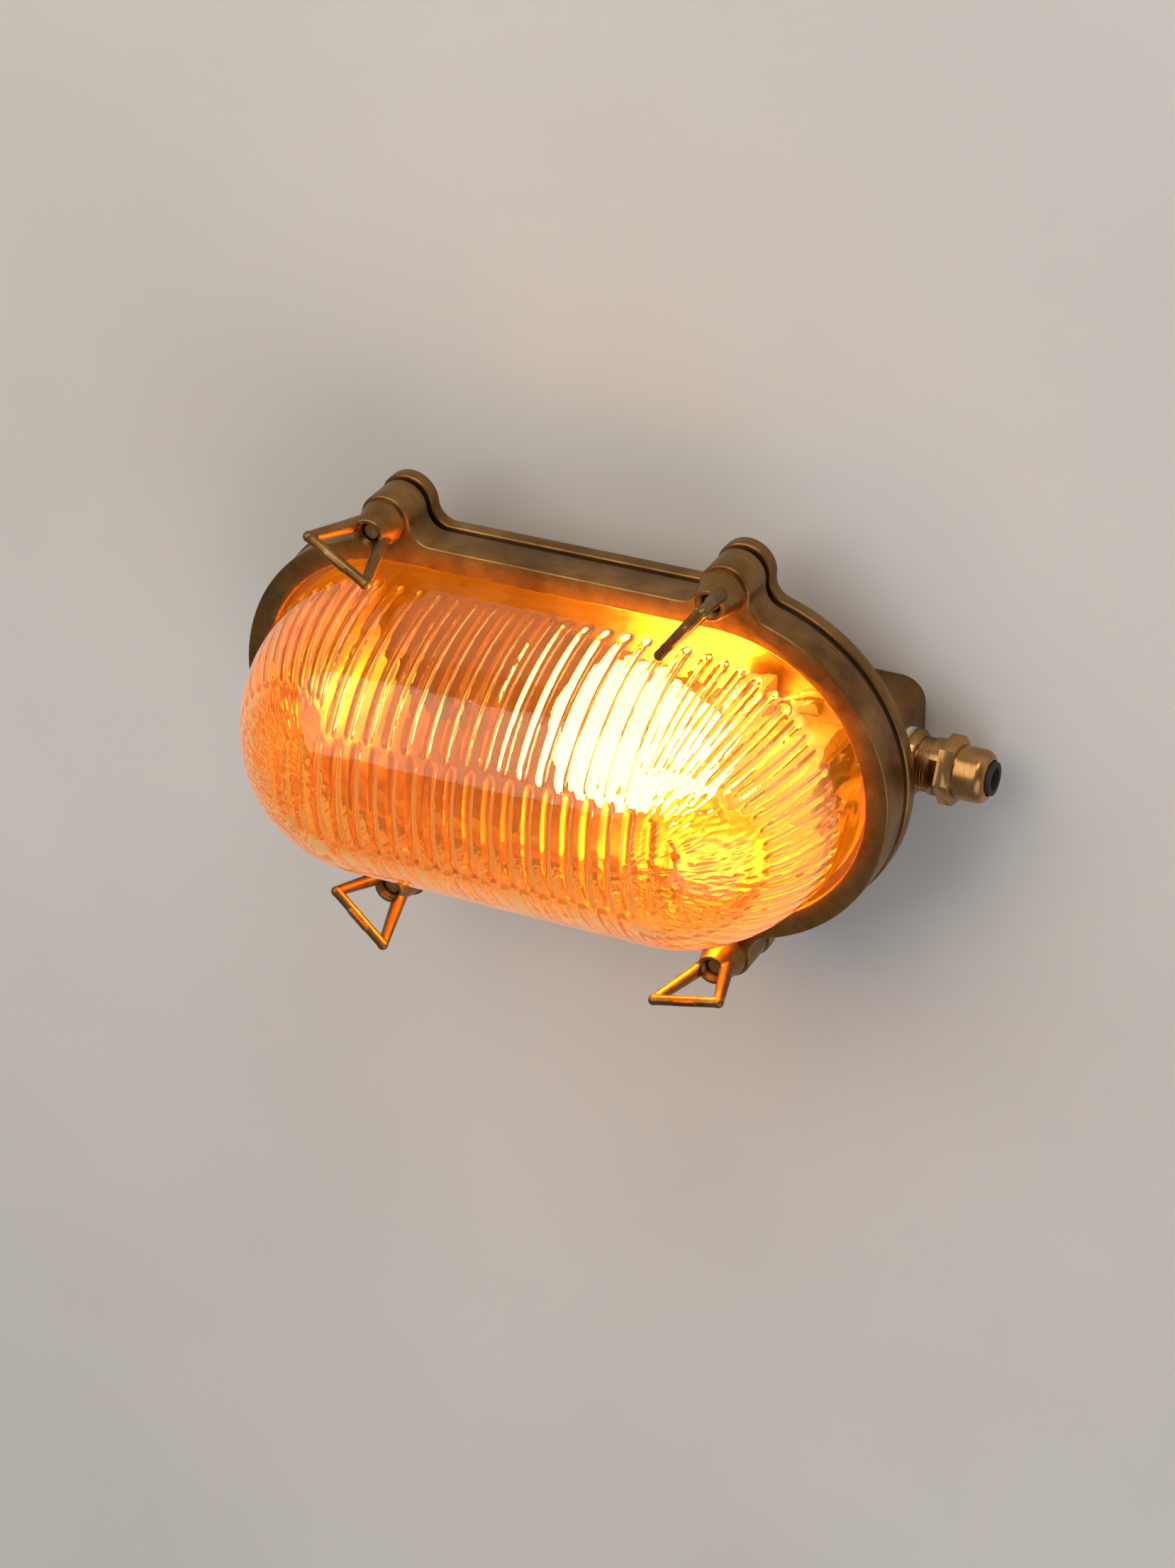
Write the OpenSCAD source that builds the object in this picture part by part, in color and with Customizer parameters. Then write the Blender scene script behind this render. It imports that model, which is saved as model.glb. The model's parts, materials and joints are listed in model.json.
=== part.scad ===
// Oval bulkhead lantern in cast brass with a ribbed glass, for a wall or a deck head.
// Millimetres. The wall is the plane z = 0, +Z points out of the wall,
// +X points to the cable gland and the long axis of the oval lies along X.

/* [Oval] */
// Half length of the straight side of the oval
half_straight = 67.4; // [60:0.2:75]
// Outer radius of the front ring at its ends
ring_r = 72.6; // [70:0.2:76]
// Radius of the opening in the front ring
opening_r = 63; // [61:0.2:64]
// Height of the ring's front face above the wall
ring_front_z = 61; // [58:0.5:66]
// Depth of the ring's outer skirt
ring_depth = 16; // [14:0.5:18]
// Thickness of the ring's front face
face_t = 5; // [4:0.25:6]
// Wall thickness of the skirt
skirt_t = 4.2; // [3.5:0.1:5]

/* [Lugs] */
// Distance of a stud from the short centre line
lug_x = 72.3; // [68:0.1:76]
// Distance of a stud from the long centre line
lug_y = 80.5; // [78:0.1:84]
// Radius of a lug on the ring
lug_r = 10.5; // [9:0.1:12]
// Radius of the hollow curve that blends a lug into the oval
lug_blend_r = 9; // [6:0.5:12]

/* [Body] */
// How far the body's flange stands out past the ring
flange_step = 1; // [0.5:0.1:2]
// Thickness of the body's flange
flange_t = 6; // [5:0.5:8]
// Radius of the body where it meets the wall
base_r = 45; // [40:1:50]
// Radius of the body under its flange
shoulder_r = 62; // [58:1:65]
// Wall thickness of the dish
dish_t = 4; // [3:0.5:5]
// Spacing of the wall screws along the lantern
wall_hole_x = 140; // [120:2:150]
// Spacing of the wall screws across the lantern
wall_hole_y = 56; // [40:2:60]
// Radius of a wall screw hole
wall_hole_r = 2.75; // [2:0.25:3.5]
// Half width of the boss that carries the cable gland
boss_half_w = 25; // [20:1:28]
// Distance of the boss's flat face from the centre
boss_face_x = 129.8; // [128:0.2:134]

/* [Glass] */
// Radius of the glass outside its flange
glass_r = 62.2; // [60:0.1:62.4]
// Half length of the straight side of the glass
glass_straight = 64.2; // [60:0.2:66]
// Height of the crown above the ring's front face
crown_h = 79; // [70:0.5:84]
// Height above the ring's front face where the glass begins to arch
neck_h = 2; // [0:0.5:6]
// Fullness of the arch, where 1 is an ellipse and less is fuller
arch_power = 0.95; // [0.7:0.01:1]
// Wall thickness of the glass
glass_t = 6; // [4:0.5:7]
// Number of ribs along a straight side
side_ribs = 16; // [12:2:20]
// Number of ribs round a quarter of the oval
fan_ribs = 13; // [9:2:15]
// Height of a rib inside the glass
rib_h = 1.4; // [0.6:0.1:2]
// Thickness of the glass flange
glass_flange_t = 4.5; // [4:0.25:5]

/* [Wing nuts] */
// Radius of the stud
stud_r = 4; // [3.5:0.5:4.5]
// Height of the nut's boss end above the ring's front face
nut_end_h = 13.4; // [12:0.2:15]
// Radius of the nut at its foot
nut_foot_r = 9.3; // [8:0.1:10]
// Radius of the nut at its end
nut_end_r = 6.3; // [6:0.1:7]
// Height of the loop's cross bar above the ring's front face
loop_h = 37; // [32:0.5:38]
// Half length of the loop's cross bar between the corners
loop_half_w = 14.2; // [12:0.1:15]
// Radius of the loop's bar
loop_rod_r = 2.1; // [1.6:0.1:2.4]
// Turn of the upper left loop from the long axis
turn_upper_left = -33; // [-180:1:180]
// Turn of the lower left loop from the long axis
turn_lower_left = -45; // [-180:1:180]
// Turn of the lower right loop from the long axis
turn_lower_right = 13; // [-180:1:180]
// Turn of the upper right loop from the long axis
turn_upper_right = 51; // [-180:1:180]

/* [Gland] */
// Height of the gland's axis above the wall
gland_z = 20; // [18:0.5:24]
// Radius of the gland's thread in the boss
gland_thread_r = 10; // [8:0.5:10]
// Width across the flats of the gland body
gland_hex_af = 22; // [20:0.5:24]
// Width across the flats of the gland nut
gland_nut_af = 24; // [22:0.5:26]
// Radius of the cable hole in the seal
cable_r = 4.5; // [3:0.25:5]

/* [Lamp] */
// Height of the lamp's axis above the wall
lamp_z = 48; // [46:0.5:50]
// Distance of the lampholder's back from the centre
holder_back_x = 110; // [108:0.5:111]
// Radius of the bulb's globe
globe_r = 30; // [25:0.5:30]
// Distance from the bulb's contact tip to the middle of the globe
globe_reach = 77.5; // [74:0.5:78]

/* [Hidden] */
$fn = 96;
flange_top_z = ring_front_z - ring_depth - 2;
flange_z = flange_top_z - flange_t;
skirt_z = ring_front_z - ring_depth;
face_z = ring_front_z - face_t;
seat_r = ring_r - skirt_t;
spigot_top_z = face_z - glass_flange_t - 2.1;
spigot_in_r = 60;
spigot_out_r = 66;
glass_flange_z = face_z - 1 - glass_flange_t;
glass_flange_r = seat_r - 1.2;
crown_z = ring_front_z + crown_h;
cavity_floor_r = base_r - dish_t + dish_t * (shoulder_r - base_r) / flange_z;
washer_t = 1.2;
washer_z = ring_front_z + 0.1;
nut_z = washer_z + washer_t + 0.1;
nut_h = ring_front_z + nut_end_h - nut_z;
stud_end_z = ring_front_z + 10.4;
gap = 0.05;
brass = "#a8834a";
turned_brass = "#c9a063";
rubber = "#1b1b1d";
porcelain = "#ece8de";
clear = "#dfe7e6";
steel = "#b9bcc0";
tip_x = holder_back_x - 8;
globe_x = tip_x - globe_reach;
shell_in_r = 13.4;
shell_out_r = 14;
holder_front_x = holder_back_x - 38;
foot_z = 14;
foot_t = 2;
block_x = 62;
block_size = [16, 34, 14];
block_z = 8;
pole_gap = 10;
earth_at = [34, -30];
lead_r = 1.1;

// ---- Shapes shared by the pieces ----

// Sweeps a half section, drawn in radius and height, round an oval.
module oval_sweep(a) {
    for (turn = [0, 180]) rotate(turn) {
        translate([a, 0, 0]) rotate(-90) rotate_extrude(angle = 180) children();
        translate([-a, 0, 0]) rotate([90, 0, 90]) linear_extrude(2 * a) children();
    }
}

module oval(a, r) {
    translate([-a, -r]) square([2 * a, 2 * r]);
    for (side = [-1, 1]) translate([side * a, 0]) circle(r);
}

// The crossing on the right of two circles around p and q.
function crossing(p, rp, q, rq) =
    let (d = norm(q - p), u = (q - p) / d, along = (rp * rp - rq * rq + d * d) / (2 * d),
         off = sqrt(rp * rp - along * along))
    p + u * along + [u.y, -u.x] * off;

// One lug with the hollow curves that blend it into the oval. Each curve runs a hair inside
// the lug and the oval, so that it crosses them.
module lug(r_oval, r_lug, r_blend) {
    hub = [lug_x, lug_y];
    end = [half_straight, 0];
    to_oval = r_oval + r_blend - 0.02;
    to_hub = r_lug + r_blend - 0.02;
    line_c = [lug_x - sqrt(to_hub * to_hub - pow(to_oval - lug_y, 2)), to_oval];
    arc_c = crossing(end, to_oval, hub, to_hub);
    translate(hub) circle(r_lug);
    difference() {
        polygon([[line_c.x, r_oval - 6], line_c, hub, arc_c,
                 arc_c + (end - arc_c) * (r_blend + 6) / to_oval]);
        translate(line_c) circle(r_blend);
        translate(arc_c) circle(r_blend);
    }
}

// A plate with the outline of the ring and of the flange, with four lugs.
module lug_plate(grow, h) {
    linear_extrude(h) oval(half_straight, ring_r + grow);
    for (sx = [0, 1]) for (sy = [0, 1]) mirror([sx, 0]) mirror([0, sy])
        linear_extrude(h) lug(ring_r + grow, lug_r + grow, lug_blend_r - grow);
}

module at_lugs() for (sx = [-1, 1]) for (sy = [-1, 1]) translate([sx * lug_x, sy * lug_y, 0]) children();

// A round bar from p to q, with its radius at each end.
module bar(p, q, rp, rq) {
    v = q - p;
    translate(p) rotate([0, acos(v.z / norm(v)), atan2(v.y, v.x)]) cylinder(norm(v), rp, rq);
}

// A machine screw that stands on its tip at z = 0 and points up, with a slot in its head.
module slotted_screw(r, length, head_r, head_h) {
    cylinder(length, r, r, $fn = 32);
    translate([0, 0, length]) difference() {
        cylinder(head_h, head_r, head_r, $fn = 32);
        translate([-head_r - 1, -0.5, head_h * 0.5]) cube([2 * head_r + 2, 1, head_h]);
    }
}

// ---- Housing ----

module back_body() color(brass) difference() {
    union() {
        oval_sweep(half_straight)
            polygon([[0, 0], [base_r, 0], [shoulder_r, flange_z], [shoulder_r, flange_top_z],
                     [0, flange_top_z]]);
        translate([0, 0, flange_z]) lug_plate(flange_step, flange_t);
        oval_sweep(half_straight)
            translate([spigot_in_r, flange_top_z - 1])
                square([spigot_out_r - spigot_in_r, spigot_top_z - flange_top_z + 1]);
        gland_boss();
    }
    difference() {
        oval_sweep(half_straight)
            polygon([[0, dish_t], [cavity_floor_r, dish_t], [spigot_in_r, flange_top_z],
                     [spigot_in_r, face_z], [0, face_z]]);
        floor_bosses();
    }
    translate([half_straight, 0, gland_z]) rotate([0, 90, 0]) cylinder(80, gland_thread_r, gland_thread_r);
    at_lugs() translate([0, 0, flange_z - 1]) cylinder(flange_t + 2, stud_r + gap, stud_r + gap);
    for (sx = [-1, 1]) for (sy = [-1, 1])
        translate([sx * wall_hole_x / 2, sy * wall_hole_y / 2, -1])
            cylinder(dish_t + 2, wall_hole_r, wall_hole_r);
    for (sy = [-1, 1]) translate([88, sy * 9, 6]) cylinder(20, 2 + gap, 2 + gap);
    translate([block_x, 0, 4]) cylinder(20, 1.5 + gap, 1.5 + gap);
    translate([earth_at.x, earth_at.y, 3]) cylinder(20, 2 + gap, 2 + gap);
}

module gland_boss() {
    corner_r = 10;
    intersection() {
        linear_extrude(flange_z + 1) {
            translate([80, -boss_half_w]) square([boss_face_x - corner_r - 80, 2 * boss_half_w]);
            translate([80, -boss_half_w + corner_r])
                square([boss_face_x - 80, 2 * (boss_half_w - corner_r)]);
            for (sy = [-1, 1])
                translate([boss_face_x - corner_r, sy * (boss_half_w - corner_r)]) circle(corner_r);
        }
        translate([80, -40, 0]) cube([60, 80, flange_z + 1]);
    }
}

module floor_bosses() {
    for (sy = [-1, 1]) translate([88, sy * 9, 0]) cylinder(foot_z, 4.5, 4.5);
    translate([block_x, 0, 0]) cylinder(block_z, 4, 4);
    translate([earth_at.x, earth_at.y, 0]) cylinder(9, 4.5, 4.5);
}

module studs() color(turned_brass) at_lugs() {
    translate([0, 0, flange_z]) cylinder(stud_end_z - 1 - flange_z, stud_r, stud_r);
    translate([0, 0, stud_end_z - 1]) cylinder(1, stud_r, stud_r - 1);
}

module body_gasket() color(rubber)
    oval_sweep(half_straight)
        translate([spigot_out_r + 0.4, flange_top_z + gap])
            square([ring_r - 1 - spigot_out_r - 0.4, skirt_z - flange_top_z - 2 * gap]);

module front_ring() color(brass) difference() {
    translate([0, 0, skirt_z]) lug_plate(0, ring_depth);
    oval_sweep(half_straight)
        polygon([[0, skirt_z - 1], [seat_r, skirt_z - 1], [seat_r, face_z], [opening_r, face_z],
                 [opening_r, ring_front_z + 1], [0, ring_front_z + 1]]);
    at_lugs() translate([0, 0, skirt_z - 1]) cylinder(ring_depth + 2, stud_r + 0.6, stud_r + 0.6);
}

// ---- Glass ----

// The glass is a grid of columns round the oval and rows from its foot to its mid line.
// Four columns make a rib inside; the outside takes every other column.
side_cols = 4 * side_ribs;
fan_cols = 4 * fan_ribs;
cols = 2 * side_cols + 4 * fan_cols;
wall_in_r = glass_r - glass_t;
arch_z = ring_front_z + neck_h;
ceiling_z = crown_z - glass_t;
// Turns of the rows over the arch, inside and outside. The upper ribs end at the row step_row,
// and the lower ones, half a pitch aside, begin two rows on.
in_turns = [0, 5, 7, 18, 28, 38, 48, 57, 64.2, 66.7, 69.5, 71.9, 80.5];
out_turns = [10, 24, 38, 53, 70];
step_row = 8;

// The side of the oval a column stands on, as its direction from the pole or the mid line.
function col_angle(j) =
    j <= fan_cols ? 90 * j / fan_cols
    : j <= fan_cols + side_cols ? 90
    : j <= 3 * fan_cols + side_cols ? 90 + 90 * (j - fan_cols - side_cols) / fan_cols
    : j <= 3 * fan_cols + 2 * side_cols ? 270
    : 270 + 90 * (j - 3 * fan_cols - 2 * side_cols) / fan_cols;

// Number of the mid line point a column runs to, from 0 at the right pole.
function mid_index(j) =
    j <= 2 * fan_cols + side_cols
    ? max(0, min(side_cols, j - fan_cols))
    : side_cols - max(0, min(side_cols, j - 3 * fan_cols - side_cols));

function mid_x(m, a) = a * (1 - 2 * m / side_cols);

function oval_point(j, a, r, z) =
    [mid_x(mid_index(j), a) + r * cos(col_angle(j)), r * sin(col_angle(j)), z];

// How high a rib stands at a place of the inner face, as a share of rib_h.
function rib_share(j, row) =
    let (upper = j >= fan_cols && j <= fan_cols + side_cols,
         fan = mid_index(j) % side_cols == 0, last = len(in_turns) - 1,
         shift = upper && row <= step_row ? 2 : 0,
         gap_row = upper ? row == step_row + 1 || row == step_row + 2 : fan && row == last)
    row < 2 || gap_row ? 0 : [1, 0.15, 0, 0.15][(j + shift) % 4];

// A point of the inner face, drawn in by its rib square to the arch.
function inner_point(j, row) =
    let (q = in_turns[row], rise = ceiling_z - arch_z,
         n = [cos(q) / wall_in_r, sin(q) / rise], in = rib_h * rib_share(j, row) / norm(n),
         r = wall_in_r * pow(cos(q), arch_power) - in * n.x,
         z = row == 0 ? glass_flange_z : arch_z + rise * pow(sin(q), arch_power) - in * n.y)
    oval_point(j, glass_straight, r, z);

// A point of the outer face, from the flange's underside up over the arch.
function outer_point(j, row) =
    let (q = row < 3 ? 0 : out_turns[row - 3])
    row < 2 ? oval_point(j, half_straight, glass_flange_r, glass_flange_z + row * glass_flange_t)
    : oval_point(j, glass_straight, glass_r * pow(cos(q), arch_power),
                 row == 2 ? glass_flange_z + glass_flange_t
                 : arch_z + (crown_z - arch_z) * pow(sin(q), arch_power));

// The mid line's points under the crown, with the lower ribs carried over it.
function ceiling_point(m) =
    [mid_x(m, glass_straight), 0, ceiling_z - (m % side_cols == 0 ? 0 : rib_h * [1, 0.15, 0, 0.15][m % 4])];

// Two triangles of a face with corners a, b below and d, c above, seen from the outside.
function quad(a, b, c, d) = [if (d != c) [a, d, c], [a, c, b]];

module glass_dome() color(clear) {
    in_rows = len(in_turns);
    out_rows = len(out_turns) + 3;
    out_cols = cols / 2;
    out_mid = out_rows * out_cols;
    in_start = out_mid + side_cols / 2 + 1;
    in_mid = in_start + in_rows * cols;
    points = concat(
        [for (row = [0:out_rows - 1]) for (k = [0:out_cols - 1]) outer_point(2 * k, row)],
        [for (m = [0:2:side_cols]) [mid_x(m, glass_straight), 0, crown_z]],
        [for (row = [0:in_rows - 1]) for (j = [0:cols - 1]) inner_point(j, row)],
        [for (m = [0:side_cols]) ceiling_point(m)]);
    outside = [for (row = [0:out_rows - 1]) for (k = [0:out_cols - 1])
        let (n = (k + 1) % out_cols, last = row == out_rows - 1, up = (row + 1) * out_cols)
        each quad(row * out_cols + k, row * out_cols + n,
                  last ? out_mid + mid_index(2 * n) / 2 : up + n,
                  last ? out_mid + mid_index(2 * k) / 2 : up + k)];
    inside = [for (row = [0:in_rows - 1]) for (j = [0:cols - 1])
        let (n = (j + 1) % cols, last = row == in_rows - 1, at = in_start + row * cols)
        each quad(at + n, at + j, last ? in_mid + mid_index(j) : at + cols + j,
                  last ? in_mid + mid_index(n) : at + cols + n)];
    foot = [for (k = [0:out_cols - 1])
        let (n = (k + 1) % out_cols, i = in_start + 2 * k, next = in_start + 2 * n)
        for (tri = [[k, n, i + 1], [k, i + 1, i], [n, next, i + 1]]) tri];
    polyhedron(points, concat(outside, inside, foot));
}

// A channel that wraps the rim of the glass flange.
module glass_gasket() color(rubber) oval_sweep(half_straight) difference() {
    translate([opening_r + 0.6, glass_flange_z - 1 + gap])
        square([seat_r - gap - opening_r - 0.6, glass_flange_t + 2 - 2 * gap]);
    translate([opening_r - 1, glass_flange_z - gap / 2])
        square([glass_flange_r + gap - opening_r + 1, glass_flange_t + gap]);
}

// ---- Studs' washers and wing nuts ----

module washer(sx, sy) color(turned_brass)
    translate([sx * lug_x, sy * lug_y, washer_z]) difference() {
        cylinder(washer_t, nut_foot_r - 0.4, nut_foot_r - 0.4);
        translate([0, 0, -1]) cylinder(washer_t + 2, stud_r + 0.4, stud_r + 0.4);
    }

module wing_nut(sx, sy, turn) color(brass)
    translate([sx * lug_x, sy * lug_y, 0]) rotate(turn) difference() {
        union() {
            translate([0, 0, nut_z]) cylinder(nut_h, nut_foot_r, nut_end_r);
            for (side = [-1, 1]) {
                bar([side * 4.1, 0, ring_front_z + 7], [side * loop_half_w, 0, ring_front_z + loop_h],
                    loop_rod_r + 1, loop_rod_r);
                translate([side * loop_half_w, 0, ring_front_z + loop_h]) sphere(loop_rod_r + 0.2);
            }
            bar([-loop_half_w, 0, ring_front_z + loop_h], [loop_half_w, 0, ring_front_z + loop_h],
                loop_rod_r, loop_rod_r);
            translate([-5, -1.1, ring_front_z + loop_h]) cube([10, 2.2, loop_rod_r + 0.5]);
        }
        translate([0, 0, nut_z - 1]) cylinder(nut_h + 2, stud_r + 0.06, stud_r + 0.06);
        translate([0, 0, nut_z + 8]) cylinder(nut_h, stud_r + 0.6, stud_r + 0.6);
    }

// ---- Cable gland ----

module along_gland() translate([0, 0, gland_z]) rotate([0, 90, 0]) children();

// A hexagon with turned-off corners at its outer end.
module hexagon(flats, h) intersection() {
    cylinder(h, flats / sqrt(3), flats / sqrt(3), $fn = 6);
    union() {
        cylinder(h - 0.8, flats, flats);
        translate([0, 0, h - 0.9]) cylinder(0.9, flats / 2 + 2, flats / 2 + 0.5);
    }
}

module gland_washer() color("#e9e6df") along_gland()
    translate([0, 0, boss_face_x + gap]) difference() {
        cylinder(1.9, 13, 13);
        translate([0, 0, -1]) cylinder(4, gland_thread_r + 0.3, gland_thread_r + 0.3);
    }

module gland_body() color(turned_brass) along_gland() difference() {
    union() {
        translate([0, 0, 116]) cylinder(16, gland_thread_r - gap, gland_thread_r - gap);
        translate([0, 0, 131.8]) hexagon(gland_hex_af, 5.2);
        translate([0, 0, 137]) cylinder(5, 10.4, 10.4);
        for (i = [0:2]) translate([0, 0, 138 + 1.3 * i]) cylinder(0.6, 10.7, 10.7);
        translate([0, 0, 142]) cylinder(4.2, 9, 9);
    }
    translate([0, 0, 115]) cylinder(40, 7, 7);
}

module gland_seal() color(rubber) along_gland() difference() {
    union() {
        translate([0, 0, 139]) cylinder(8, 6.9, 6.9);
        translate([0, 0, 147]) cylinder(19.8, 6.6, 6.6);
    }
    translate([0, 0, 138]) cylinder(30, cable_r, cable_r);
}

// The slip ring that lets the nut turn on the seal as it draws up.
module gland_clamp_ring() color("#3a3a3c") along_gland()
    translate([0, 0, 158]) difference() {
        cylinder(2, 9, 9);
        translate([0, 0, -1]) cylinder(4, 6.9, 6.9);
    }

module gland_nut() color(turned_brass) along_gland() difference() {
    union() {
        translate([0, 0, 142.4]) cylinder(4.1, 11.4, 11.4);
        translate([0, 0, 146.5]) hexagon(gland_nut_af, 6.2);
        rotate_extrude() {
            translate([0, 152.7]) square([10.6, 8.5]);
            difference() {
                translate([6.6, 161.2]) circle(4);
                translate([0, 150]) square([20, 11.2]);
            }
            translate([0, 161.2]) square([6.6, 4]);
        }
    }
    translate([0, 0, 141]) cylinder(19.3, 9.3, 9.3);
    translate([0, 0, 160]) cylinder(10, 7.2, 7.2);
}

// ---- Lampholder ----

module along_lamp() translate([0, 0, lamp_z]) rotate([0, 90, 0]) children();

module lampholder_bracket() color(steel) difference() {
    union() {
        translate([80, -13, foot_z]) cube([holder_back_x - 80, 26, foot_t]);
        translate([holder_back_x + gap, -13, foot_z]) cube([2, 26, lamp_z + 14 - foot_z]);
        translate([holder_back_x - 1, -13, foot_z]) cube([2, 26, foot_t]);
    }
    for (sy = [-1, 1]) translate([88, sy * 9, 0]) cylinder(30, 2.2, 2.2);
    translate([100, -8.5, foot_z - 1]) cube([20, 17, 15]);
    for (sy = [-1, 1]) translate([100, sy * 9.5, lamp_z]) rotate([0, 90, 0]) cylinder(20, 1.7, 1.7);
    translate([100, -4, lamp_z - 10]) cube([20, 8, 14]);
}

module bracket_screws() color(steel) for (sy = [-1, 1])
    translate([88, sy * 9, 7]) slotted_screw(2, foot_z + foot_t + gap - 7, 3.6, 2.2);

module lampholder_body() color(porcelain) along_lamp() difference() {
    union() {
        translate([0, 0, holder_front_x]) cylinder(28, 19, 19);
        translate([0, 0, holder_front_x + 1.5]) cylinder(2.5, 19.8, 19.8);
        translate([0, 0, holder_front_x + 28]) cylinder(10, 20.5, 20.5);
    }
    translate([0, 0, holder_front_x - 1]) cylinder(28, shell_out_r + gap, shell_out_r + gap);
    translate([0, 0, holder_front_x + 26]) cylinder(6, 9, 9);
    for (sy = [-1, 1]) translate([0, sy * 9.5, holder_back_x - 5]) cylinder(6, 1.55, 1.55);
    for (sy = [-1, 1]) translate([0, sy * 15, holder_front_x + 29]) cylinder(10, 1.4, 1.4);
    translate([7, 0, holder_front_x + 29]) cylinder(10, 1.4, 1.4);
}

// Threaded shell, with rings for the crests of its rolled thread.
module lampholder_shell() color(turned_brass) along_lamp() difference() {
    translate([0, 0, holder_front_x + 1]) cylinder(24.5, shell_out_r, shell_out_r);
    translate([0, 0, holder_front_x]) cylinder(27, shell_in_r, shell_in_r);
}

module centre_contact() color(turned_brass) {
    translate([tip_x + 0.3, -3, lamp_z - 3]) cube([0.8, 6, 10]);
    translate([tip_x + 0.3, -3, lamp_z + 6.2]) cube([1.7, 6, 0.8]);
}

module lampholder_screws() color(steel) for (sy = [-1, 1])
    translate([holder_back_x - 4.5, sy * 9.5, lamp_z]) rotate([0, 90, 0])
        slotted_screw(1.5, 6.5 + 2 * gap, 2.8, 1.8);

// ---- Terminals and leads ----

module terminal_block() color(porcelain) difference() {
    translate([block_x - block_size.x / 2, -block_size.y / 2, block_z]) cube(block_size);
    for (i = [-1, 1]) for (sx = [-1, 1])
        translate([block_x + sx * 4.5, i * pole_gap, block_z + 4]) cylinder(20, 2.2, 2.2);
    for (i = [-1, 1]) translate([block_x - 20, i * pole_gap, block_z + 6])
        rotate([0, 90, 0]) cylinder(40, 2.6, 2.6);
    translate([block_x, 0, block_z - 1]) cylinder(30, 1.7, 1.7);
    translate([block_x, 0, block_z + 8]) cylinder(30, 3.4, 3.4);
}

module terminal_clamps() color(turned_brass) for (i = [-1, 1])
    translate([block_x, i * pole_gap, block_z + 6]) rotate([0, 90, 0]) difference() {
        translate([0, 0, -7]) cylinder(14, 2.55, 2.55);
        translate([0, 0, -8]) cylinder(5, 1.3, 1.3);
        translate([0, 0, 3]) cylinder(5, 1.3, 1.3);
    }

module terminal_screws() color(steel) for (i = [-1, 1]) for (sx = [-1, 1])
    translate([block_x + sx * 4.5, i * pole_gap, block_z + 8.6]) slotted_screw(1.4, 2, 2, 2);

module block_screw() color(steel)
    translate([block_x, 0, 5]) slotted_screw(1.5, 11 + gap, 2.9, 1.8);

module earth_washer() color(turned_brass)
    translate([earth_at.x, earth_at.y, 9 + gap]) difference() {
        cylinder(1.2, 4.4, 4.4);
        translate([0, 0, -1]) cylinder(4, 2.2, 2.2);
    }

module earth_screw() color(turned_brass)
    translate([earth_at.x, earth_at.y, 3.5]) slotted_screw(2, 9 + 1.2 + 2 * lead_r + 3 * gap - 3.5, 3.8, 2.4);

// A smooth curve through four neighbouring route points.
function curve_at(p, i, t) =
    let (n = len(p) - 1, a = p[max(i - 1, 0)], b = p[i], c = p[i + 1], d = p[min(i + 2, n)])
    0.5 * (2 * b + (c - a) * t + (2 * a - 5 * b + 4 * c - d) * t * t
           + (3 * b - a - 3 * c + d) * t * t * t);

// Sweeps a round lead along its route, with steps rings between neighbouring points.
module lead(route, r, steps) {
    sides = 8;
    n = (len(route) - 1) * steps;
    path = [for (k = [0:n]) k == n ? route[len(route) - 1]
            : curve_at(route, floor(k / steps), k / steps - floor(k / steps))];
    rings = [for (k = [0:n])
        let (t = path[min(k + 1, n)] - path[max(k - 1, 0)], w = t / norm(t),
             s = cross(w, [0.31, 0.17, 0.94]), u = s / norm(s), v = cross(w, u))
        for (j = [0:sides - 1])
            path[k] + r * (cos(360 * j / sides) * u + sin(360 * j / sides) * v)];
    walls = [for (k = [0:n - 1]) for (j = [0:sides - 1])
        let (a = k * sides + j, b = k * sides + (j + 1) % sides)
        for (tri = [[a, a + sides, b], [b, a + sides, b + sides]]) tri];
    caps = [[for (j = [0:sides - 1]) j], [for (j = [sides - 1:-1:0]) n * sides + j]];
    polyhedron(rings, concat(walls, caps));
}

live_route = [[66, 10, 14], [72, 10, 14], [77, 11.5, 15.5], [82, 16.5, 20], [92, 20.5, 24], [104, 20, 27],
              [113.5, 15.5, 34], [116, 8, 43], [112.5, 0.5, 41.2], [108, 0, 41]];
neutral_route = [[66, -10, 14], [72, -10, 14], [77, -11.5, 15.5], [82, -16.5, 20], [92, -20.5, 24],
                 [104, -20, 27], [113, -17, 34], [114.5, -15.5, 44], [112, -15, 48], [108, -15, 48]];
earth_route = [[36.9, -28.6, 11.35], [40, -27, 11.6], [50, -24.5, 15], [66, -22, 16], [80, -21, 15],
               [92, -18, 17], [96, -12, 18.5], [92.8, -9, 17.15]];

module live_lead() color("#b08f78") lead(live_route, lead_r, 3);

module neutral_lead() color("#aab3bf") lead(neutral_route, lead_r, 3);

module earth_lead() color("#b6bd92") lead(earth_route, lead_r, 3);

// ---- Bulb ----

// Radius of the bulb between the globe and the collar, from x = 0 to 1.
function neck_r(t) = let (s = t * t * (3 - 2 * t)) (1 - s) * 22.6 + s * 12.4 - 3.4 * t * (1 - t);

// The bulb's outline from its pole to its collar, drawn in by inset.
function bulb_line(inset) =
    let (meet = 19.7, collar = globe_reach - 26.5)
    concat([for (i = [0:24]) let (q = 90 - i * (90 + asin(meet / globe_r)) / 24)
                [(globe_r - inset) * cos(q), -(globe_r - inset) * sin(q)]],
           [for (i = [1:12]) [neck_r(i / 12) - inset, meet + (collar - meet) * i / 12]]);

module bulb_glass() color("#f4f4ee") translate([globe_x, 0, 0]) along_lamp() {
    inner = bulb_line(1);
    rotate_extrude() polygon(concat(bulb_line(0), [for (i = [len(inner) - 1:-1:0]) inner[i]]));
}

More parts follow.
